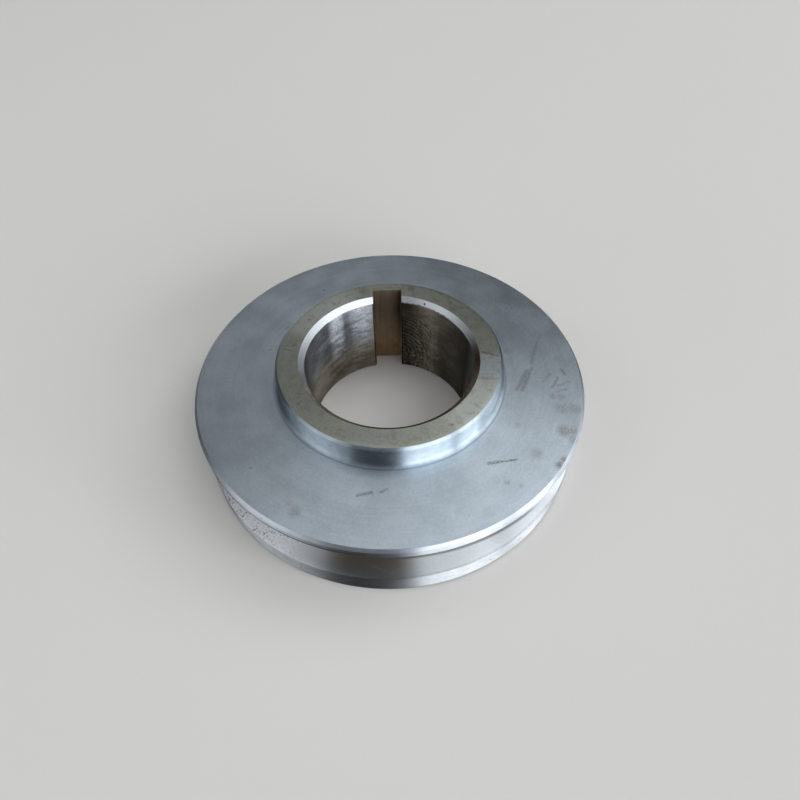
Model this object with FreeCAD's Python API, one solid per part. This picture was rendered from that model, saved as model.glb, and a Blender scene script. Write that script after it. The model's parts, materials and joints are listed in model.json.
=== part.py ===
"""Single-groove V-belt pulley, turned from one piece of steel, with a keyed through bore.

Millimetres. The axis of rotation is Z. The origin is on the axis, in the plane of the flat back
face that the pulley rests on; the raised hub faces +Z and the keyway is on the +Y side.
"""
import FreeCAD
import Part
import math
import os

# Overall form
OUTER_RADIUS = 51.0
RIM_WIDTH = 20.7            # back face to the flat front face of the disc
OVERALL_LENGTH = 27.0       # back face to the end of the hub, the length through the bore

# Hub and bore
HUB_RADIUS = 29.35
HUB_EDGE_BREAK = 0.6
HUB_ROOT_RADIUS = 1.05      # fillet between the hub and the face of the disc
BORE_RADIUS = 22.0
BORE_FRONT_CHAMFER = 1.4
BORE_BACK_CHAMFER = 0.3

# Keyway, open at both ends of the bore
KEYWAY_WIDTH = 8.0
KEYWAY_FLOOR = 25.7         # axis to the flat floor of the slot

# V groove for a 13 mm belt
GROOVE_LOW = 6.0            # height of the opening's lower edge at the outside diameter
GROOVE_HIGH = 18.1          # height of its upper edge
GROOVE_DEPTH = 11.0
GROOVE_HALF_ANGLE = math.radians(17.0)
GROOVE_CORNER_RADIUS = 0.8

# Broken edges of the rim
FRONT_EDGE_CHAMFER = 0.7
BACK_EDGE_CHAMFER = 0.4
GROOVE_EDGE_BREAK = 0.25

SHARP, CHAMFER, ROUND = "sharp", "chamfer", "round"


def section_point(radius, height):
    """A point of the half section, which lies in the XZ plane."""
    return FreeCAD.Vector(radius, 0, height)


def treated_corner(before, corner, after, kind, size):
    """Where the section leaves and rejoins its straight sides at a corner, and the edge between."""
    if kind == SHARP:
        return corner, corner, None
    to_before = (before - corner).normalize()
    to_after = (after - corner).normalize()
    half_turn = to_before.getAngle(to_after) / 2
    setback = size if kind == CHAMFER else size / math.tan(half_turn)
    start = corner + to_before * setback
    end = corner + to_after * setback
    if kind == CHAMFER:
        return start, end, Part.makeLine(start, end)
    towards_centre = (to_before + to_after).normalize()
    middle = corner + towards_centre * (size / math.sin(half_turn) - size)
    return start, end, Part.Arc(start, middle, end).toShape()


def closed_section(corners):
    """A face bounded by straight sides whose corners are sharp, chamfered or rounded."""
    count = len(corners)
    treated = []
    for index, (corner, kind, size) in enumerate(corners):
        before = corners[index - 1][0]
        after = corners[(index + 1) % count][0]
        treated.append(treated_corner(before, corner, after, kind, size))
    edges = []
    for index, (_, leaves, corner_edge) in enumerate(treated):
        if corner_edge is not None:
            edges.append(corner_edge)
        arrives = treated[(index + 1) % count][0]
        edges.append(Part.makeLine(leaves, arrives))
    return Part.Face(Part.Wire(edges))


def turned_blank():
    """The body as it comes off the lathe: rim, groove, hub and bore in one revolved section."""
    groove_rise = GROOVE_DEPTH * math.tan(GROOVE_HALF_ANGLE)
    groove_radius = OUTER_RADIUS - GROOVE_DEPTH
    corners = [
        (section_point(BORE_RADIUS, 0), CHAMFER, BORE_BACK_CHAMFER),
        (section_point(OUTER_RADIUS, 0), CHAMFER, BACK_EDGE_CHAMFER),
        (section_point(OUTER_RADIUS, GROOVE_LOW), ROUND, GROOVE_EDGE_BREAK),
        (section_point(groove_radius, GROOVE_LOW + groove_rise), ROUND, GROOVE_CORNER_RADIUS),
        (section_point(groove_radius, GROOVE_HIGH - groove_rise), ROUND, GROOVE_CORNER_RADIUS),
        (section_point(OUTER_RADIUS, GROOVE_HIGH), ROUND, GROOVE_EDGE_BREAK),
        (section_point(OUTER_RADIUS, RIM_WIDTH), CHAMFER, FRONT_EDGE_CHAMFER),
        (section_point(HUB_RADIUS, RIM_WIDTH), ROUND, HUB_ROOT_RADIUS),
        (section_point(HUB_RADIUS, OVERALL_LENGTH), CHAMFER, HUB_EDGE_BREAK),
        (section_point(BORE_RADIUS, OVERALL_LENGTH), CHAMFER, BORE_FRONT_CHAMFER),
    ]
    section = closed_section(corners)
    return section.revolve(FreeCAD.Vector(0, 0, 0), FreeCAD.Vector(0, 0, 1), 360)


def keyway_cutter():
    """The slot's straight-sided cutter, from the axis out to the floor, past both ends."""
    overrun = 1.0
    corner = FreeCAD.Vector(-KEYWAY_WIDTH / 2, 0, -overrun)
    return Part.makeBox(KEYWAY_WIDTH, KEYWAY_FLOOR, OVERALL_LENGTH + 2 * overrun, corner)


def pulley_body():
    """The finished pulley: the turned blank with its keyway cut."""
    return turned_blank().cut(keyway_cutter()).Solids[0]


def write_step(name, shape):
    """Save one sub-part under its node name."""
    assert shape.isValid(), name
    shape.exportStep(os.path.join("parts", name + ".step"))
    print(name, "volume", round(shape.Volume), "mm3, height", round(shape.BoundBox.ZLength, 3))


os.makedirs("parts", exist_ok=True)
write_step("pulley_body", pulley_body())
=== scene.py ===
"""Looks of a single-groove V-belt pulley: one turned steel body with its machined finishes.

Blender works in metres. The pulley's lengths are in millimetres here and are turned into metres
by MM; the studio round it is in metres. Azimuths are degrees counter-clockwise from +X, so the
front is 270 and the keyway is at 90.
"""

import json
import math

import bmesh
import bpy
from mathutils import Matrix, Vector, noise


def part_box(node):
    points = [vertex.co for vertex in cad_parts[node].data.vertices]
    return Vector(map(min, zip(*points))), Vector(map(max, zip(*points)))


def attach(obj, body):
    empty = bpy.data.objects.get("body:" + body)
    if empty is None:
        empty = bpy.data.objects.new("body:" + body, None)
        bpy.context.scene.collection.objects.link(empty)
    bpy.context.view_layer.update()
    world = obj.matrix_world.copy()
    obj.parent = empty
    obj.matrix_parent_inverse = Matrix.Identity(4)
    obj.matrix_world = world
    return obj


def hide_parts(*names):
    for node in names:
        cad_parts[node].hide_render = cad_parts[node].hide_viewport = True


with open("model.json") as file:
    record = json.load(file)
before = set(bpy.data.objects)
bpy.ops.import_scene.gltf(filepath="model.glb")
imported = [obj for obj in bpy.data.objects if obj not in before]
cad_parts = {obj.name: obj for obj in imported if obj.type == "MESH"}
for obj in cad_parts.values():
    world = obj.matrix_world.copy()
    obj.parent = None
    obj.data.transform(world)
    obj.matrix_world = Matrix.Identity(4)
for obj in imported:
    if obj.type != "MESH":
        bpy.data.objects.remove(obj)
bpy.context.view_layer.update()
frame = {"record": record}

MM = 0.001
NODE = "pulley_body"
MOUNTS = {mount["name"]: mount for mount in frame["record"]["mounts"]}

# Sizes of the turned section, in millimetres
OUTER_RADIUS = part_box(NODE)[1].y / MM
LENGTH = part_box(NODE)[1].z / MM
BORE_RADIUS = MOUNTS["bore"]["dims"]["r_mm"]
RIM_WIDTH = 20.7
HUB_RADIUS = 29.35
HUB_EDGE_BREAK = 0.6
HUB_ROOT_RADIUS = 1.05
BORE_FRONT_CHAMFER = 1.4
BORE_BACK_CHAMFER = 0.3
GROOVE_LOW = 6.0
GROOVE_HIGH = 18.1
GROOVE_DEPTH = 11.0
GROOVE_HALF_ANGLE = math.radians(17.0)
GROOVE_CORNER_RADIUS = 0.8
FRONT_EDGE_CHAMFER = 0.7
BACK_EDGE_CHAMFER = 0.4
KEYWAY_HALF_WIDTH = 4.0
KEYWAY_FLOOR = 25.7
KEYWAY_INNER_CORNER = 0.2
SOFT_EDGE = 0.12            # rounding of every edge that the machining left nearly sharp
GROOVE_SOFT_EDGE = 0.2
CHAMFER_MIDDLE = BORE_FRONT_CHAMFER / 2
GROOVE_MIDDLE = (GROOVE_LOW + GROOVE_HIGH) / 2

# Steps of the lathe mesh
CIRCLE_STEPS = 568
RING_SPACING = 1.3
DEGREES_PER_ARC_STEP = 9    # of an edge rounding with a radius of 1 mm
NOTCH_SIDE_STEPS = 6
NOTCH_CORNER_STEPS = 3
NOTCH_HALF_FLOOR_STEPS = 6
CLEAR_OF_NOTCH = 27.2       # the end faces have no rings between the bore and this radius
SHARP_ANGLE = math.radians(40)

# Tears along the keyway's edges, in millimetres
TEAR_DEPTH = 0.16
CHIP_DEPTH = 0.9
TEAR_WIDTH = 0.25           # how far they reach to either side of the edge
TEAR_REACH = 0.9            # how far they reach out from the bore wall

FINISHES = ["disc_face", "back_face", "hub_face", "hub_side", "bore_chamfer", "bore_wall",
            "keyway_wall", "rim_land", "groove_wall"]
END_FACES = ["back_face", "hub_face"]

# The studio, its lengths in metres
FLOOR_RADIUS = 1.6
BACKDROP_BEND = 1.2
BACKDROP_BEND_STEPS = 12
BACKDROP_HEIGHT = 4.5
STUDIO_SIDES = 96
LIGHT_DISTANCE = 4.0
LIGHT_COLOR = (0.94, 0.97, 1.0)
# Each light: name, azimuth, elevation, the width and height it covers in degrees, radiance
LIGHTS = [
    ("window_front_right", 299, 14, 38, 28, 5.9),
    ("window_right", 338, 14, 20, 28, 5.6),
    ("window_right_sill", 321, 6, 12, 12, 3.5),
    ("window_far_right", 358, 12, 18, 24, 1.0),
    ("window_left", 213, 8, 46, 16, 1.85),
    ("wall_front_left", 212, 34, 24, 24, 0.45),
    ("wall_left", 190, 38, 40, 20, 0.95),
    ("wall_right", 20, 38, 30, 20, 2.75),
    ("wall_back", 110, 38, 40, 20, 0.2),
    ("ceiling_left", 182, 58, 50, 20, 0.25),
    ("ceiling_front_right", 312, 57, 36, 20, 1.5),
    ("ceiling_right", 0, 58, 40, 20, 1.0),
    ("ceiling_back_right", 42, 58, 40, 20, 0.77),
    ("ceiling_back", 88, 58, 40, 20, 0.34),
    ("ceiling_middle", 90, 80, 40, 24, 1.3),
]


# ---------------------------------------------------------------- section of the lathe work

def section_corners():
    """Corners of the half section, each with its rounding and the finish of the side after it."""
    groove_rise = GROOVE_DEPTH * math.tan(GROOVE_HALF_ANGLE)
    groove_radius = OUTER_RADIUS - GROOVE_DEPTH
    return [
        (BORE_RADIUS + BORE_BACK_CHAMFER, 0, SOFT_EDGE, "back_face"),
        (OUTER_RADIUS - BACK_EDGE_CHAMFER, 0, SOFT_EDGE, "rim_land"),
        (OUTER_RADIUS, BACK_EDGE_CHAMFER, SOFT_EDGE, "rim_land"),
        (OUTER_RADIUS, GROOVE_LOW, GROOVE_SOFT_EDGE, "groove_wall"),
        (groove_radius, GROOVE_LOW + groove_rise, GROOVE_CORNER_RADIUS, "groove_wall"),
        (groove_radius, GROOVE_HIGH - groove_rise, GROOVE_CORNER_RADIUS, "groove_wall"),
        (OUTER_RADIUS, GROOVE_HIGH, GROOVE_SOFT_EDGE, "rim_land"),
        (OUTER_RADIUS, RIM_WIDTH - FRONT_EDGE_CHAMFER, SOFT_EDGE, "rim_land"),
        (OUTER_RADIUS - FRONT_EDGE_CHAMFER, RIM_WIDTH, SOFT_EDGE, "disc_face"),
        (HUB_RADIUS, RIM_WIDTH, HUB_ROOT_RADIUS, "hub_side"),
        (HUB_RADIUS, LENGTH - HUB_EDGE_BREAK, SOFT_EDGE, "hub_side"),
        (HUB_RADIUS - HUB_EDGE_BREAK, LENGTH, SOFT_EDGE, "hub_face"),
        (BORE_RADIUS + BORE_FRONT_CHAMFER, LENGTH, SOFT_EDGE, "bore_chamfer"),
        (BORE_RADIUS, LENGTH - BORE_FRONT_CHAMFER, SOFT_EDGE, "bore_wall"),
        (BORE_RADIUS, BORE_BACK_CHAMFER, SOFT_EDGE, "bore_chamfer"),
    ]


def rounded_corner(before, corner, after, radius):
    """Points of the arc that rounds one corner of the section."""
    to_before = (before - corner).normalized()
    to_after = (after - corner).normalized()
    half_turn = to_before.angle(to_after) / 2
    centre = corner + (to_before + to_after).normalized() * (radius / math.sin(half_turn))
    start = (corner + to_before * (radius / math.tan(half_turn)) - centre).normalized()
    end = (corner + to_after * (radius / math.tan(half_turn)) - centre).normalized()
    steps = max(3, round(radius * math.degrees(start.angle(end)) / DEGREES_PER_ARC_STEP))
    return [centre + start.slerp(end, step / steps) * radius for step in range(steps + 1)]


def section_rings():
    """(radius, height, finish of the band that follows) all round the closed half section.

    The hub's fillet and edge break are turned with its side and share its finish. The end faces
    have no rings between the bore and CLEAR_OF_NOTCH, where the keyway cuts into them.
    """
    corners = section_corners()
    points = [Vector((radius, height)) for radius, height, _, _ in corners]
    arcs = []
    for index, (_, _, rounding, _) in enumerate(corners):
        after = points[(index + 1) % len(points)]
        arcs.append(rounded_corner(points[index - 1], points[index], after, rounding))
    rings = []
    for index, arc in enumerate(arcs):
        finish_before = corners[index - 1][3]
        finish_after = corners[index][3]
        arc_finish = "hub_side" if "hub_side" in (finish_before, finish_after) else finish_after
        rings += [(point.x, point.y, arc_finish) for point in arc[:-1]]
        start = arc[-1]
        end = arcs[(index + 1) % len(arcs)][0]
        steps = max(1, round((end - start).length / RING_SPACING))
        for step in range(steps):
            point = start.lerp(end, step / steps)
            if step == 0 or finish_after not in END_FACES or point.x > CLEAR_OF_NOTCH:
                rings.append((point.x, point.y, finish_after))
    return rings


def end_rounding(height):
    """How much wider the keyway is this close to an end face, where its edge is broken."""
    inside = max(0.0, min(height, LENGTH - height))
    if inside >= SOFT_EDGE:
        return 0.0
    return SOFT_EDGE - math.sqrt(SOFT_EDGE ** 2 - (SOFT_EDGE - inside) ** 2)


def notch_half(radius, height):
    """Right-hand half of the keyway's outline, from the bore wall to the middle of its floor."""
    half_width = KEYWAY_HALF_WIDTH + end_rounding(height)
    floor = KEYWAY_FLOOR + end_rounding(height)
    mouth = math.sqrt(radius ** 2 - half_width ** 2)
    lip_angle = math.atan2(mouth, half_width) - SOFT_EDGE / radius
    side_low = mouth + SOFT_EDGE
    side_high = floor - KEYWAY_INNER_CORNER
    lip_cut = SOFT_EDGE * 0.3
    points = [(radius * math.cos(lip_angle), radius * math.sin(lip_angle))]
    points.append((half_width + lip_cut, mouth + lip_cut))
    for step in range(NOTCH_SIDE_STEPS + 1):
        share = step / NOTCH_SIDE_STEPS
        points.append((half_width, side_low + (side_high - side_low) * share))
    for step in range(1, NOTCH_CORNER_STEPS + 1):
        turn = math.radians(90) * step / NOTCH_CORNER_STEPS
        points.append((half_width - KEYWAY_INNER_CORNER * (1 - math.cos(turn)),
                       floor - KEYWAY_INNER_CORNER * (1 - math.sin(turn))))
    for step in range(1, NOTCH_HALF_FLOOR_STEPS + 1):
        share = step / NOTCH_HALF_FLOOR_STEPS
        points.append(((half_width - KEYWAY_INNER_CORNER) * (1 - share), floor))
    return points


def ring_points(radius, height):
    """One ring of vertices, counter-clockwise from the keyway's right-hand edge."""
    right = notch_half(min(radius, BORE_RADIUS + BORE_FRONT_CHAMFER), height)
    points = [Vector(pair) for pair in right + [(-x, y) for x, y in reversed(right[:-1])]]
    if radius > KEYWAY_FLOOR:
        points = [point.normalized() * radius for point in points]
    half_turn = math.atan2(right[0][0], right[0][1])
    sweep = math.radians(360) - 2 * half_turn
    for step in range(1, CIRCLE_STEPS):
        angle = math.radians(90) + half_turn + sweep * step / CIRCLE_STEPS
        points.append(Vector((math.cos(angle), math.sin(angle))) * radius)
    return [point.to_3d() + Vector((0, 0, height)) for point in points]


def is_notch_step(index):
    """Whether the step from one vertex of a ring to the next lies in the keyway, past its lip."""
    lip_steps = 2
    half_steps = lip_steps + NOTCH_SIDE_STEPS + NOTCH_CORNER_STEPS + NOTCH_HALF_FLOOR_STEPS
    return 1 <= index < 2 * half_steps - 1


# ---------------------------------------------------------------- the mesh

def ragged(point):
    """Small tears along the keyway's long edges, left by the broach."""
    at_edge = math.exp(-((abs(point.x) - KEYWAY_HALF_WIDTH) / TEAR_WIDTH) ** 2)
    near_bore = math.exp(-((math.hypot(point.x, point.y) - BORE_RADIUS) / TEAR_REACH) ** 2)
    strength = at_edge * near_bore
    if point.y < 0 or strength < 0.02:
        return point
    tear = noise.noise(Vector((point.x * 0.4, 0, point.z * 1.1))) * TEAR_DEPTH
    chip = max(0.0, noise.noise(Vector((3.0, point.x, point.z * 0.5))) - 0.25) * CHIP_DEPTH
    shift = (tear + chip) * 0.5
    side = 1 if point.x > 0 else -1
    return point + Vector((side * shift, shift, 0)) * strength


def lathe_mesh(name):
    """The whole body as one closed mesh, its faces sorted by finish."""
    rings = section_rings()
    mesh = bmesh.new()
    loops = []
    for radius, height, _ in rings:
        loops.append([mesh.verts.new(ragged(point) * MM) for point in ring_points(radius, height)])
    for index, (radius, _, finish) in enumerate(rings):
        following = (index + 1) % len(rings)
        in_keyway = radius < KEYWAY_FLOOR and rings[following][0] < KEYWAY_FLOOR
        lower, upper = loops[index], loops[following]
        for step in range(len(lower)):
            after = (step + 1) % len(lower)
            face = mesh.faces.new((lower[step], lower[after], upper[after], upper[step]))
            face_finish = "keyway_wall" if in_keyway and is_notch_step(step) else finish
            face.material_index = FINISHES.index(face_finish)
            face.smooth = True
    bmesh.ops.recalc_face_normals(mesh, faces=mesh.faces)
    for edge in mesh.edges:
        edge.smooth = edge.calc_face_angle(0.0) < SHARP_ANGLE
    data = bpy.data.meshes.new(name)
    mesh.to_mesh(data)
    mesh.free()
    return data


# ---------------------------------------------------------------- node helpers

def direction(azimuth, elevation):
    """Unit vector towards an azimuth, counter-clockwise from +X, and an elevation, in degrees."""
    turn, rise = math.radians(azimuth), math.radians(elevation)
    return Vector((math.cos(rise) * math.cos(turn), math.cos(rise) * math.sin(turn), math.sin(rise)))


class Graph:
    """A material's node tree, with short calls for the nodes used here.

    place, x, y, height and radius are in millimetres, and around is the unit vector away from the
    axis. ragged is the place on a flat face, shaken a little so that marks get torn edges.
    """

    def __init__(self, name):
        self.material = bpy.data.materials.new(name)
        self.material.use_nodes = True
        self.tree = self.material.node_tree
        self.tree.nodes.clear()
        place = self.node("ShaderNodeTexCoord").outputs["Object"]
        self.place = self.scaled(place, 1 / MM)
        split = self.node("ShaderNodeSeparateXYZ", [self.place])
        self.x, self.y, self.height = split.outputs
        self.flat = self.node("ShaderNodeCombineXYZ", [self.x, self.y, 0.0]).outputs[0]
        self.radius = self.vector("LENGTH", self.flat, socket="Value")
        self.around = self.vector("NORMALIZE", self.flat)
        shift = self.node("ShaderNodeTexNoise", {"Vector": self.flat, "Scale": 0.9, "Detail": 4.0,
                                                 "Roughness": 0.7})
        centred = self.vector("SUBTRACT", shift.outputs["Color"], (0.5, 0.5, 0.5))
        self.ragged = self.vector("ADD", self.flat, self.scaled(centred, 0.9))

    def node(self, kind, inputs=(), **settings):
        """A new node with its inputs fed, by number or by name, and its own settings."""
        made = self.tree.nodes.new(kind)
        for key, value in settings.items():
            setattr(made, key, value)
        pairs = inputs.items() if isinstance(inputs, dict) else enumerate(inputs)
        for key, value in pairs:
            self.feed(made.inputs[key], value)
        return made

    def feed(self, socket, value):
        """Links a socket, or gives it a plain value."""
        if isinstance(value, bpy.types.NodeSocket):
            self.tree.links.new(value, socket)
        else:
            socket.default_value = value

    def math(self, operation, *values, clamp=False):
        made = self.node("ShaderNodeMath", values, operation=operation, use_clamp=clamp)
        return made.outputs[0]

    def vector(self, operation, *values, socket="Vector"):
        return self.node("ShaderNodeVectorMath", values, operation=operation).outputs[socket]

    def scaled(self, vector, factor):
        made = self.node("ShaderNodeVectorMath", [vector], operation="SCALE")
        self.feed(made.inputs["Scale"], factor)
        return made.outputs[0]

    def step(self, value, start, end, low=0.0, high=1.0):
        """low below start, high above end, smooth between; start may be the larger."""
        made = self.node("ShaderNodeMapRange", [value, start, end, low, high])
        made.interpolation_type = "SMOOTHSTEP"
        return made.outputs[0]

    def weighted(self, *parts):
        """The sum of several values, each given with its weight."""
        total = self.math("MULTIPLY", *parts[0])
        for value, weight in parts[1:]:
            total = self.math("ADD", total, self.math("MULTIPLY", value, weight))
        return total

    def product(self, *masks):
        """The part that all the masks share."""
        result = masks[0]
        for mask in masks[1:]:
            result = self.math("MULTIPLY", result, mask)
        return result

    def strongest(self, *masks):
        """The largest of several masks at each point."""
        result = masks[0]
        for mask in masks[1:]:
            result = self.math("MAXIMUM", result, mask)
        return result

    def noise(self, vector, scale, detail=3.0, rough=0.55):
        made = self.node("ShaderNodeTexNoise", {"Vector": vector, "Scale": scale, "Detail": detail,
                                                "Roughness": rough})
        return made.outputs["Fac"]

    def stretched(self, scales):
        """The place in millimetres, stretched by a scale along each axis."""
        return self.vector("MULTIPLY", self.place, scales)

    def towards(self, azimuth, inner, outer):
        """1 within inner degrees of an azimuth, 0 past outer degrees of it, smooth between."""
        facing = self.vector("DOT_PRODUCT", self.around, direction(azimuth, 0), socket="Value")
        return self.step(facing, math.cos(math.radians(outer)), math.cos(math.radians(inner)))

    def spot(self, x, y, size, strength):
        """A soft ragged spot on a flat face."""
        distance = self.vector("DISTANCE", self.ragged, (x, y, 0), socket="Value")
        return self.step(distance, size * 1.5, size * 0.2, 0.0, strength)

    def stroke(self, start_x, start_y, end_x, end_y, width, strength):
        """A soft ragged stroke on a flat face."""
        along = Vector((end_x - start_x, end_y - start_y, 0))
        offset = self.vector("SUBTRACT", self.ragged, (start_x, start_y, 0))
        share = self.vector("DOT_PRODUCT", offset, along / along.length_squared, socket="Value")
        nearest = self.scaled(along, self.math("ADD", share, 0.0, clamp=True))
        distance = self.vector("DISTANCE", offset, nearest, socket="Value")
        return self.step(distance, width, width * 0.15, 0.0, strength)

    def handling_marks(self, spots, strokes):
        """The spots and strokes of a flat face as one mask, broken up by its grain."""
        marks = [self.spot(*spot) for spot in spots] + [self.stroke(*stroke) for stroke in strokes]
        grain = self.step(self.noise(self.place, 2.6, 3.0, 0.75), 0.38, 0.60, 0.25, 1.0)
        return self.product(self.strongest(*marks), grain)

    def turned_place(self, across, across_scale, around_scale):
        """Texture place in which detail is long along the turning marks and fine across them."""
        split = self.node("ShaderNodeSeparateXYZ", [self.around])
        return self.node("ShaderNodeCombineXYZ", [
            self.math("MULTIPLY", across, across_scale),
            self.math("MULTIPLY", split.outputs[0], around_scale),
            self.math("MULTIPLY", split.outputs[1], around_scale)]).outputs[0]

    def mix(self, share, first, second):
        """first where share is 0, second where it is 1."""
        made = self.node("ShaderNodeMix", data_type="RGBA")
        self.feed(made.inputs[0], share)
        self.feed(made.inputs[6], first)
        self.feed(made.inputs[7], second)
        return made.outputs[2]

    def finish(self, color, roughness, anisotropy, height, bump, metallic=1.0):
        """Bare steel whose brushing follows the turning marks round the axis.

        A quarter turn of the anisotropy draws each highlight out across the marks.
        """
        tangent = self.node("ShaderNodeTangent", direction_type="RADIAL", axis="Z").outputs[0]
        shader = self.node("ShaderNodeBsdfPrincipled")
        self.feed(shader.inputs["Base Color"], color)
        self.feed(shader.inputs["Roughness"], roughness)
        shader.inputs["Metallic"].default_value = metallic
        shader.inputs["Anisotropic"].default_value = anisotropy
        shader.inputs["Anisotropic Rotation"].default_value = 0.25
        self.feed(shader.inputs["Tangent"], tangent)
        relief = self.node("ShaderNodeBump", {"Height": height, "Strength": bump,
                                              "Distance": 0.02 * MM})
        self.feed(shader.inputs["Normal"], relief.outputs[0])
        output = self.node("ShaderNodeOutputMaterial")
        self.tree.links.new(shader.outputs[0], output.inputs[0])
        return self.material


def opaque(red, green, blue):
    """A full colour value from its red, green and blue."""
    return (red, green, blue, 1.0)


# ---------------------------------------------------------------- marks of use, in millimetres

# Spots: x, y, size, strength
DISC_SPOTS = [
    (-19.1, 34.2, 0.45, 0.9), (-28.6, 18.1, 0.4, 0.5), (-32.8, 9.6, 0.45, 0.5),
    (-33.4, -28.7, 0.5, 0.5), (-22.0, -40.6, 1.5, 0.45), (-23.6, -38.4, 0.8, 0.3),
    (39.1, -31.0, 1.2, 0.9), (40.3, -29.4, 0.9, 0.8), (26.0, -35.1, 0.8, 0.55),
    (29.2, -36.0, 0.6, 0.4), (34.4, -27.6, 1.6, 0.4), (43.9, -23.9, 1.3, 0.5),
    (31.1, -19.0, 0.9, 0.35), (43.0, -14.2, 2.0, 0.42), (46.2, -14.5, 1.9, 0.46),
    (42.2, -21.1, 1.8, 0.65), (44.2, -21.3, 1.5, 0.55), (41.6, -10.2, 1.0, 0.42),
    (43.8, -10.4, 1.1, 0.42), (32.7, 6.3, 1.5, 0.25), (42.1, 20.4, 1.4, 0.2),
    (10.2, -34.9, 1.3, 0.2), (20.8, -42.8, 1.5, 0.2), (14.3, -42.0, 1.1, 0.18),
]
# Strokes: from x, y to x, y, width, strength
DISC_STROKES = [
    (-8.2, -37.0, -4.9, -36.3, 0.7, 0.7), (-3.1, -36.4, -1.5, -35.7, 0.6, 0.7),
    (22.4, -29.8, 24.9, -29.4, 0.7, 0.9), (24.9, -29.4, 29.1, -28.9, 0.45, 0.9),
    (32.8, -7.4, 36.6, -0.9, 0.9, 0.55), (34.2, -7.6, 37.8, -0.3, 0.9, 0.55),
    (38.1, 1.4, 40.6, 8.1, 0.8, 0.45), (40.6, 8.1, 42.6, 12.2, 0.6, 0.25),
    (45.8, -1.0, 46.2, -2.7, 0.7, 0.6), (40.2, -5.1, 42.4, -2.5, 0.6, 0.4),
    (42.0, -7.2, 44.2, -4.0, 0.7, 0.45), (43.6, -6.6, 46.9, -5.4, 0.6, 0.45),
    (42.9, -8.6, 45.6, -7.9, 0.6, 0.35),
]
HUB_SPOTS = [
    (-21.5, 14.5, 0.5, 0.7), (-24.6, 5.1, 0.5, 0.6), (17.5, 19.6, 0.7, 0.7), (14.1, -22.8, 0.6, 0.6),
    (-6.6, 25.6, 1.6, 0.5), (7.0, 26.0, 1.3, 0.55), (27.5, -6.5, 0.7, 0.3), (-14.9, 20.6, 0.5, 0.4),
    (-12.0, -23.0, 0.5, 0.35), (4.0, -26.5, 0.4, 0.35), (-22.2, -14.9, 0.6, 0.3),
]
HUB_STROKES = [
    (23.9, 0.4, 27.9, -1.2, 0.45, 0.8), (22.8, -8.8, 27.1, -9.0, 0.35, 0.45),
    (-27.2, 3.6, -25.0, 2.8, 0.35, 0.4), (20.1, -16.6, 21.6, -18.4, 0.3, 0.4),
]
GROOVE_SCRATCHES = [
    (-5.7, -47.8, -1.0, -49.9, 0.17, 1.0), (-1.0, -49.9, -0.5, -49.2, 0.17, 0.9),
]


# ---------------------------------------------------------------- finishes

def disc_face():
    """Faced smooth: clouded by handling, rubbed aslant on the right, with small brown marks."""
    g = Graph("disc_face")
    fine = g.noise(g.turned_place(g.radius, 6.0, 1.2), 1.0, 2.0)
    rings = g.noise(g.turned_place(g.radius, 0.9, 0.8), 1.0, 2.0)
    cloud = g.noise(g.place, 0.13, 4.0)
    grain = g.noise(g.place, 1.5, 4.0, 0.7)
    across = g.vector("DOT_PRODUCT", g.place, direction(145, 0) * 2.2, socket="Value")
    along = g.vector("DOT_PRODUCT", g.place, direction(55, 0) * 0.22, socket="Value")
    rub_place = g.node("ShaderNodeCombineXYZ", [across, along, 0.0]).outputs[0]
    rub_streaks = g.step(g.noise(rub_place, 1.0, 3.0, 0.7), 0.45, 0.65)
    rubs = g.product(rub_streaks, g.towards(350, 25.0, 65.0))
    shade = g.weighted((cloud, 0.4), (grain, 0.35), (rings, 0.15), (fine, 0.1), (rubs, -0.07))
    clean = g.mix(g.step(shade, 0.37, 0.63), opaque(0.42, 0.475, 0.52), opaque(0.54, 0.605, 0.655))
    # A dark ring on the disc just outside the hub's fillet.
    dark_ring_by_fillet = g.product(g.step(g.radius, HUB_RADIUS + 1.0, HUB_RADIUS + 1.2),
                            g.step(g.radius, HUB_RADIUS + 1.65, HUB_RADIUS + 1.3, 0.0, 0.45))
    lined = g.mix(dark_ring_by_fillet, clean, opaque(0.20, 0.21, 0.22))
    marks = g.handling_marks(DISC_SPOTS, DISC_STROKES)
    color = g.mix(marks, lined, opaque(0.16, 0.14, 0.115))
    roughness = g.weighted((g.step(shade, 0.36, 0.64, 0.30, 0.36), 1.0), (marks, 0.1))
    return g.finish(color, roughness, 0.5, g.weighted((fine, 0.7), (grain, 0.5)), 0.2)


def back_face():
    """Turned in faint rings and rubbed dull in patches."""
    g = Graph("back_face")
    fine = g.noise(g.turned_place(g.radius, 5.0, 1.2), 1.0, 2.0)
    rings = g.noise(g.turned_place(g.radius, 0.7, 0.6), 1.0, 2.0)
    rubbed = g.noise(g.place, 0.3, 5.0, 0.65)
    clean = g.mix(rings, opaque(0.42, 0.46, 0.50), opaque(0.52, 0.56, 0.60))
    color = g.mix(g.step(rubbed, 0.58, 0.72, 0.0, 0.5), clean, opaque(0.30, 0.29, 0.27))
    return g.finish(color, g.step(rubbed, 0.3, 0.7, 0.30, 0.42), 0.6, fine, 0.3)


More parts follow.
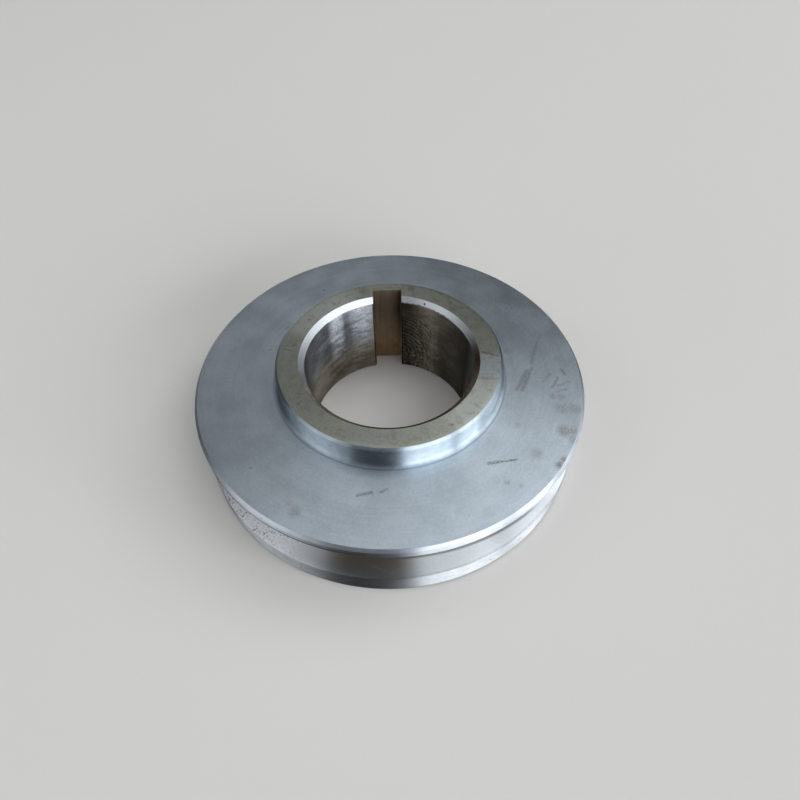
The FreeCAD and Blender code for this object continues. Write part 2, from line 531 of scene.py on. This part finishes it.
def hub_face():
    """Under an olive film of dried oil: mottled, stained, wiped off in one place, with a painted
    highlight in two opposite fans.
    """
    g = Graph("hub_face")
    fine = g.noise(g.turned_place(g.radius, 5.0, 1.5), 1.0, 2.0)
    grain = g.noise(g.place, 1.4, 4.0, 0.7)
    film = g.noise(g.place, 0.30, 4.0, 0.6)
    filmed = g.mix(g.step(film, 0.30, 0.70), opaque(0.31, 0.33, 0.305), opaque(0.37, 0.37, 0.295))
    brightened = g.product(g.towards(350, 7.5, 10.0), g.step(film, 0.66, 0.56, 0.0, 0.9))
    bare = g.mix(brightened, filmed, opaque(0.42, 0.465, 0.51))
    mottled = g.mix(g.step(grain, 0.36, 0.62, 0.0, 0.45), bare, opaque(0.43, 0.44, 0.40))
    # Painted highlight: lighter colour in two opposite fans, at 136 and 322 degrees, where window light
    # glints across the turning marks.
    highlight_fans = g.strongest(g.towards(136, 14.0, 30.0), g.towards(322, 12.0, 24.0))
    with_highlight_fans = g.mix(g.product(highlight_fans, 0.7), mottled, opaque(0.52, 0.545, 0.52))
    stains = g.step(g.noise(g.place, 0.5, 5.0, 0.72), 0.50, 0.66, 0.0, 0.5)
    far_edge = g.product(g.towards(95, 35.0, 55.0),
                         g.step(g.radius, HUB_RADIUS - 1.15, HUB_RADIUS - 0.65, 0.0, 0.45))
    stained = g.mix(g.strongest(stains, far_edge), with_highlight_fans, opaque(0.25, 0.235, 0.165))
    marks = g.handling_marks(HUB_SPOTS, HUB_STROKES)
    color = g.mix(marks, stained, opaque(0.09, 0.08, 0.06))
    roughness = g.step(grain, 0.3, 0.7, 0.33, 0.43)
    return g.finish(color, roughness, 0.5, g.weighted((fine, 0.5), (grain, 0.6)), 0.25)


def hub_side():
    """Finely turned and a little uneven in tone."""
    g = Graph("hub_side")
    fine = g.noise(g.turned_place(g.height, 4.0, 1.0), 1.0, 2.0)
    uneven = g.noise(g.place, 0.5, 3.0)
    color = g.mix(g.step(uneven, 0.3, 0.7), opaque(0.485, 0.56, 0.625), opaque(0.57, 0.66, 0.735))
    return g.finish(color, g.step(fine, 0.2, 0.8, 0.38, 0.44), 1.0, fine, 0.15)


def bore_chamfer():
    """Coarsely turned, smooth on the near side and painted dark brown there as a painted reflection of
    the bore's far wall, with dirt and a dot right of the keyway.
    """
    g = Graph("bore_chamfer")
    fine = g.noise(g.turned_place(g.radius, 5.0, 2.0), 1.0, 3.0)
    dirt = g.noise(g.place, 1.1, 3.0, 0.6)
    clean = g.mix(fine, opaque(0.70, 0.74, 0.765), opaque(0.82, 0.865, 0.89))
    # The near side is smoother; its dark brown colour is a painted reflection of the bore's far wall.
    near_side = g.towards(285, 70.0, 100.0)
    base = g.mix(near_side, clean, opaque(0.37, 0.31, 0.24))
    ragged_radius = g.math("ADD", g.radius, g.math("MULTIPLY", dirt, -0.6))
    edge_dirt = g.product(g.towards(62, 18.0, 30.0),
                          g.step(ragged_radius, BORE_RADIUS, BORE_RADIUS - 0.25, 0.0, 0.8))
    dot_place = direction(62.6, 0) * (BORE_RADIUS + CHAMFER_MIDDLE)
    dot_place.z = LENGTH - CHAMFER_MIDDLE
    dot = g.step(g.vector("DISTANCE", g.place, dot_place, socket="Value"), 0.34, 0.22)
    color = g.mix(g.strongest(edge_dirt, dot), base, opaque(0.08, 0.075, 0.07))
    roughness = g.weighted((g.step(fine, 0.2, 0.8, 0.50, 0.58), 1.0), (near_side, -0.3))
    return g.finish(color, roughness, 0.8, fine, 0.3)


def bore_wall():
    """Worn bright on the left of the keyway with painted highlight streaks up high, browner deeper in as
    a painted reflection of the table below, fretted on its right.
    """
    g = Graph("bore_wall")
    fine = g.noise(g.turned_place(g.height, 3.0, 2.0), 1.0, 4.0)
    worn = g.noise(g.turned_place(g.height, 0.7, 4.5), 1.0, 5.0, 0.65)
    grain = g.noise(g.place, 1.6, 4.0, 0.7)
    shade = g.step(g.weighted((worn, 0.6), (grain, 0.4)), 0.38, 0.62)
    ragged_height = g.math("ADD", g.height, g.math("MULTIPLY", worn, 8.0))

    bright = g.mix(shade, opaque(0.30, 0.32, 0.35), opaque(0.45, 0.48, 0.52))
    # Deeper in the colour turns brown: a painted reflection of a brown tabletop below.
    table_reflection = g.mix(shade, opaque(0.55, 0.47, 0.375), opaque(0.80, 0.69, 0.56))
    left = g.mix(g.step(ragged_height, 10.0, 21.0), table_reflection, bright)
    # Painted highlights: near-white streaks high up on the left wall, where window light glints.
    highlight_bands = g.strongest(g.towards(132, 0.5, 8.5), g.product(g.towards(110, 1.0, 11.0), 0.6))
    brightened = g.product(highlight_bands, g.step(ragged_height, 12.0, 21.0), g.step(shade, 0.0, 1.0, 0.5, 1.0))
    left = g.mix(brightened, left, opaque(0.88, 0.93, 1.0))

    dull = g.mix(shade, opaque(0.18, 0.155, 0.125), opaque(0.28, 0.25, 0.205))
    rubbed = g.mix(shade, opaque(0.46, 0.395, 0.31), opaque(0.76, 0.68, 0.56))
    rubbed_zone = g.product(g.towards(70, 10.0, 24.0), g.step(g.height, 24.0, 17.0, 0.4, 1.0))
    streak = g.step(g.noise(g.stretched((0.8, 0.8, 0.12)), 1.0, 3.0, 0.6), 0.48, 0.62, 0.0, 0.45)
    right = g.mix(streak, g.mix(rubbed_zone, dull, rubbed), dull)

    plain = g.mix(g.towards(50, 34.0, 42.0), left, right)
    keyway_lip = g.towards(90, 10.9, 11.6)
    color = g.mix(g.strongest(fretting(g, grain), keyway_lip), plain, opaque(0.05, 0.042, 0.033))
    roughness = g.step(shade, 0.0, 1.0, 0.30, 0.38)
    return g.finish(color, roughness, 1.0, g.math("ADD", fine, grain), 0.3)


def fretting(g, grain):
    """Dark broken arcs and pits where the shaft has rubbed, and crumbs of dirt at the bottom."""
    middle = direction(84, 0) * BORE_RADIUS
    middle.z = 5.0
    arcs = g.node("ShaderNodeTexWave", {"Vector": g.vector("SUBTRACT", g.place, middle), "Scale": 0.25,
                                        "Distortion": 7.0, "Detail": 3.0, "Detail Scale": 1.3,
                                        "Detail Roughness": 0.6},
                  wave_type="RINGS", rings_direction="SPHERICAL").outputs["Fac"]
    torn = g.product(g.step(arcs, 0.5, 0.15), g.step(grain, 0.38, 0.54, 0.1, 0.85),
                     g.towards(71, 8.0, 19.0), g.step(g.height, 23.0, 17.0, 0.15, 1.0),
                     g.step(g.height, 3.0, 9.0, 0.35, 1.0))
    pits = g.product(g.step(g.noise(g.place, 1.3, 3.0, 0.7), 0.54, 0.62, 0.0, 0.75),
                     g.towards(71, 10.0, 22.0), g.step(g.height, 14.0, 7.0, 0.15, 1.0))
    crumbs = g.product(g.towards(77, 3.0, 7.0), g.step(g.height, 1.8, 1.0), g.step(grain, 0.48, 0.54))
    return g.strongest(torn, pits, crumbs)


def keyway_wall():
    """Broached straight through: streaked along its length, brown, darker at the bore edge."""
    g = Graph("keyway_wall")
    streak = g.noise(g.stretched((2.6, 2.6, 0.07)), 1.0, 4.0, 0.6)
    stain = g.noise(g.place, 0.35, 4.0, 0.6)
    share = g.step(streak, 0.25, 0.75)
    front = g.mix(share, opaque(0.085, 0.062, 0.042), opaque(0.14, 0.105, 0.073))
    deep = g.mix(share, opaque(0.40, 0.27, 0.145), opaque(0.60, 0.42, 0.245))
    clean = g.mix(g.step(g.height, 22.0, 2.0), front, deep)
    stained = g.mix(g.step(stain, 0.5, 0.75, 0.0, 0.4), clean, opaque(0.08, 0.06, 0.04))
    bore_edge = g.step(g.radius, BORE_RADIUS + 1.0, BORE_RADIUS + 0.1, 0.0, 0.8)
    color = g.mix(bore_edge, stained, opaque(0.04, 0.03, 0.022))
    return g.finish(color, g.step(streak, 0.2, 0.8, 0.45, 0.6), 0.0, streak, 0.4, metallic=0.3)


def rim_land():
    """Polished bands either side of the groove, the upper one the brighter, with dirt specks, a painted
    dark reflection along the groove's upper lip and a painted contact shadow at the floor.
    """
    g = Graph("rim_land")
    fine = g.noise(g.turned_place(g.height, 5.0, 1.0), 1.0, 2.0)
    uneven = g.step(g.noise(g.place, 0.35, 4.0), 0.3, 0.7)
    lower = g.mix(uneven, opaque(0.67, 0.70, 0.735), opaque(0.79, 0.815, 0.85))
    upper = g.mix(uneven, opaque(0.74, 0.785, 0.86), opaque(0.84, 0.885, 0.96))
    upper = g.mix(g.towards(231, 8.0, 18.0), upper, opaque(0.87, 0.92, 1.0))
    clean = g.mix(g.step(g.height, GROOVE_MIDDLE - 1, GROOVE_MIDDLE + 1), lower, upper)
    specks = g.step(g.noise(g.place, 0.8, 4.0, 0.65), 0.64, 0.70, 0.0, 0.5)
    # Painted reflection: a dark brown line along the groove's upper lip, on the left.
    lip_reflection = g.product(g.towards(222, 26.0, 42.0),
                            g.step(g.height, GROOVE_HIGH + 0.85, GROOVE_HIGH + 0.4, 0.0, 0.9),
                            g.step(g.height, GROOVE_HIGH - 0.5, GROOVE_HIGH - 0.2))
    # Painted contact shadow along the bottom edge, where the rim meets the floor.
    contact_shadow = g.step(g.height, 0.9, 0.35, 0.0, 0.6)
    color = g.mix(g.strongest(specks, lip_reflection, contact_shadow), clean, opaque(0.13, 0.105, 0.085))
    return g.finish(color, g.step(fine, 0.2, 0.8, 0.43, 0.49), 1.0, fine, 0.2)


def groove_wall():
    """Frosted and rust-specked on the left, with painted light there too, oily at the front, dirty at
    its outer edge and painted with shade deep in at its right, scratched.
    """
    g = Graph("groove_wall")
    fine = g.noise(g.turned_place(g.radius, 5.0, 1.2), 1.0, 3.0)
    grain = g.noise(g.place, 1.8, 3.0, 0.65)
    clean = g.mix(grain, opaque(0.63, 0.665, 0.69), opaque(0.79, 0.825, 0.85))
    oily = g.mix(grain, opaque(0.68, 0.635, 0.575), opaque(0.80, 0.75, 0.68))
    # On the left the wall is near white: partly real frost, partly painted light from the left-hand
    # window.
    frosted_and_lit = g.mix(grain, opaque(0.90, 0.94, 1.0), opaque(1.0, 1.0, 1.0))
    oil = g.product(g.towards(257, 12.0, 21.0),
                    g.step(g.radius, OUTER_RADIUS - 1.5, OUTER_RADIUS - 3.2))
    base = g.mix(g.towards(222, 24.0, 32.0), g.mix(oil, clean, oily), frosted_and_lit)
    # Painted shade under the upper lip, deep in at the right: it reaches further out the further right
    # it goes.
    shade_rise = g.math("POWER", g.math("MULTIPLY", g.x, 0.043), 2.0)
    lip_shade = g.product(g.towards(293, 17.0, 26.0),
                          g.step(g.math("SUBTRACT", g.radius, shade_rise),
                                 OUTER_RADIUS - 4.05, OUTER_RADIUS - 4.5, 0.0, 0.8))
    edge_dirt = g.product(g.towards(298, 18.0, 30.0), g.step(grain, 0.40, 0.55, 0.3, 1.0),
                          g.step(g.radius, OUTER_RADIUS - 0.7, OUTER_RADIUS - 0.3, 0.0, 0.35))
    # Dirt at the outer edge and the painted shade under the lip share one dark colour.
    soiled_and_shaded = g.mix(g.strongest(lip_shade, edge_dirt), base, opaque(0.23, 0.22, 0.20))
    specks = g.step(g.noise(g.place, 2.0, 4.0, 0.8), 0.52, 0.62)
    clumps = g.step(g.noise(g.place, 0.3, 2.0), 0.38, 0.55, 0.35, 0.9)
    rust = g.product(specks, clumps, g.towards(222, 10.0, 24.0))
    rusted = g.mix(rust, soiled_and_shaded, opaque(0.15, 0.11, 0.08))
    scratches = g.strongest(*[g.stroke(*scratch) for scratch in GROOVE_SCRATCHES])
    color = g.mix(scratches, rusted, opaque(0.95, 0.95, 0.93))
    roughness = g.weighted((g.step(fine, 0.2, 0.8, 0.31, 0.38), 1.0), (scratches, 0.2))
    return g.finish(color, roughness, 1.0, g.math("ADD", fine, grain), 0.3)


# ---------------------------------------------------------------- the piece

def make_pulley():
    """The body, with one material for each of FINISHES, in that order."""
    data = lathe_mesh("pulley")
    for finish in (disc_face, back_face, hub_face, hub_side, bore_chamfer, bore_wall,
                   keyway_wall, rim_land, groove_wall):
        data.materials.append(finish())
    pulley = bpy.data.objects.new("pulley", data)
    bpy.context.scene.collection.objects.link(pulley)
    weighted = pulley.modifiers.new("face_weighted_normals", "WEIGHTED_NORMAL")
    weighted.keep_sharp = True
    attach(pulley, "root")
    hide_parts(NODE)
    return pulley


# ---------------------------------------------------------------- floor, light and camera

def circle_of_verts(mesh, radius, height):
    """A level ring of vertices round the axis, in metres."""
    return [mesh.verts.new(direction(360 * side / STUDIO_SIDES, 0) * radius + Vector((0, 0, height)))
            for side in range(STUDIO_SIDES)]


def stage_object(name, mesh, material):
    """Links a finished bmesh as a part of the studio, without shadow or reflection in the metal."""
    data = bpy.data.meshes.new(name)
    mesh.to_mesh(data)
    mesh.free()
    data.materials.append(material)
    made = bpy.data.objects.new(name, data)
    bpy.context.scene.collection.objects.link(made)
    made.visible_glossy = False
    made.visible_shadow = False
    return made


def make_floor():
    """A matt pale disc under the pulley."""
    material = bpy.data.materials.new("pale_floor")
    material.use_nodes = True
    shader = material.node_tree.nodes["Principled BSDF"]
    shader.inputs["Base Color"].default_value = opaque(0.80, 0.775, 0.74)
    shader.inputs["Roughness"].default_value = 0.75
    shader.inputs["Specular IOR Level"].default_value = 0.0
    mesh = bmesh.new()
    mesh.faces.new(circle_of_verts(mesh, FLOOR_RADIUS, 0.0))
    stage_object("floor", mesh, material)


def make_backdrop():
    """A pale wall that rises from the edge of the floor in one curve and gives no light."""
    material = bpy.data.materials.new("pale_backdrop")
    material.use_nodes = True
    material.cycles.emission_sampling = "NONE"
    shader = material.node_tree.nodes["Principled BSDF"]
    shader.inputs["Base Color"].default_value = opaque(0.0, 0.0, 0.0)
    shader.inputs["Specular IOR Level"].default_value = 0.0
    shader.inputs["Emission Color"].default_value = opaque(0.70, 0.69, 0.67)
    shader.inputs["Emission Strength"].default_value = 1.0
    mesh = bmesh.new()
    turns = [math.radians(90) * step / BACKDROP_BEND_STEPS for step in range(BACKDROP_BEND_STEPS + 1)]
    profile = [(FLOOR_RADIUS + BACKDROP_BEND * math.sin(turn), BACKDROP_BEND * (1 - math.cos(turn)))
               for turn in turns]
    profile.append((FLOOR_RADIUS + BACKDROP_BEND, BACKDROP_HEIGHT))
    loops = [circle_of_verts(mesh, radius, height) for radius, height in profile]
    for inner, outer in zip(loops, loops[1:]):
        for side in range(STUDIO_SIDES):
            after = (side + 1) % STUDIO_SIDES
            mesh.faces.new((inner[side], outer[side], outer[after], inner[after]))
    stage_object("backdrop", mesh, material).visible_diffuse = False


def softbox(name, azimuth, elevation, width, height, radiance):
    """A soft rectangular light; width and height are the angles it covers, in degrees."""
    data = bpy.data.lights.new(name, "AREA")
    data.shape = "RECTANGLE"
    data.size = 2 * LIGHT_DISTANCE * math.tan(math.radians(width / 2))
    data.size_y = 2 * LIGHT_DISTANCE * math.tan(math.radians(height / 2))
    data.energy = radiance * math.pi * data.size * data.size_y
    data.color = LIGHT_COLOR
    light = bpy.data.objects.new(name, data)
    towards = direction(azimuth, elevation)
    light.location = towards * LIGHT_DISTANCE
    light.rotation_euler = towards.to_track_quat("Z", "Y").to_euler()
    light.visible_camera = False
    bpy.context.scene.collection.objects.link(light)


def make_lights():
    for light in LIGHTS:
        softbox(*light)


def make_world():
    """Plain room: dark at the height of the pulley, a dim ceiling above."""
    world = bpy.data.worlds.new("room")
    bpy.context.scene.world = world
    world.use_nodes = True
    tree = world.node_tree
    tree.nodes.clear()
    place = tree.nodes.new("ShaderNodeTexCoord")
    split = tree.nodes.new("ShaderNodeSeparateXYZ")
    tree.links.new(place.outputs["Generated"], split.inputs[0])
    ramp = tree.nodes.new("ShaderNodeValToRGB")
    tree.links.new(split.outputs[2], ramp.inputs[0])
    low, high = ramp.color_ramp.elements
    low.position, low.color = 0.60, (0.021, 0.021, 0.021, 1)
    high.position, high.color = 0.85, (0.079, 0.079, 0.083, 1)
    background = tree.nodes.new("ShaderNodeBackground")
    tree.links.new(ramp.outputs[0], background.inputs["Color"])
    output = tree.nodes.new("ShaderNodeOutputWorld")
    tree.links.new(background.outputs[0], output.inputs[0])


def make_camera():
    """The viewing angle: from the front, 53 degrees above the horizon, keyway on the far side.

    The camera is tilted down to face the axis, then turned a little to the side, up and askew.
    """
    radii_away = 3.3389
    elevation = 52.78
    turns = [("X", 90 - elevation), ("Y", -0.931), ("X", 1.862), ("Z", -1.943)]
    place = direction(270, elevation) * radii_away * OUTER_RADIUS * MM
    pose = Matrix.Translation(place)
    for axis, degrees in turns:
        pose = pose @ Matrix.Rotation(math.radians(degrees), 4, axis)
    data = bpy.data.cameras.new("camera")
    data.sensor_width = 36
    data.lens = 26.04
    data.clip_start = 0.01
    data.clip_end = 40
    camera = bpy.data.objects.new("camera", data)
    bpy.context.scene.collection.objects.link(camera)
    camera.matrix_world = pose
    bpy.context.scene.camera = camera


make_pulley()
make_floor()
make_backdrop()
make_world()
make_lights()
make_camera()
bpy.context.scene.view_settings.view_transform = "Standard"
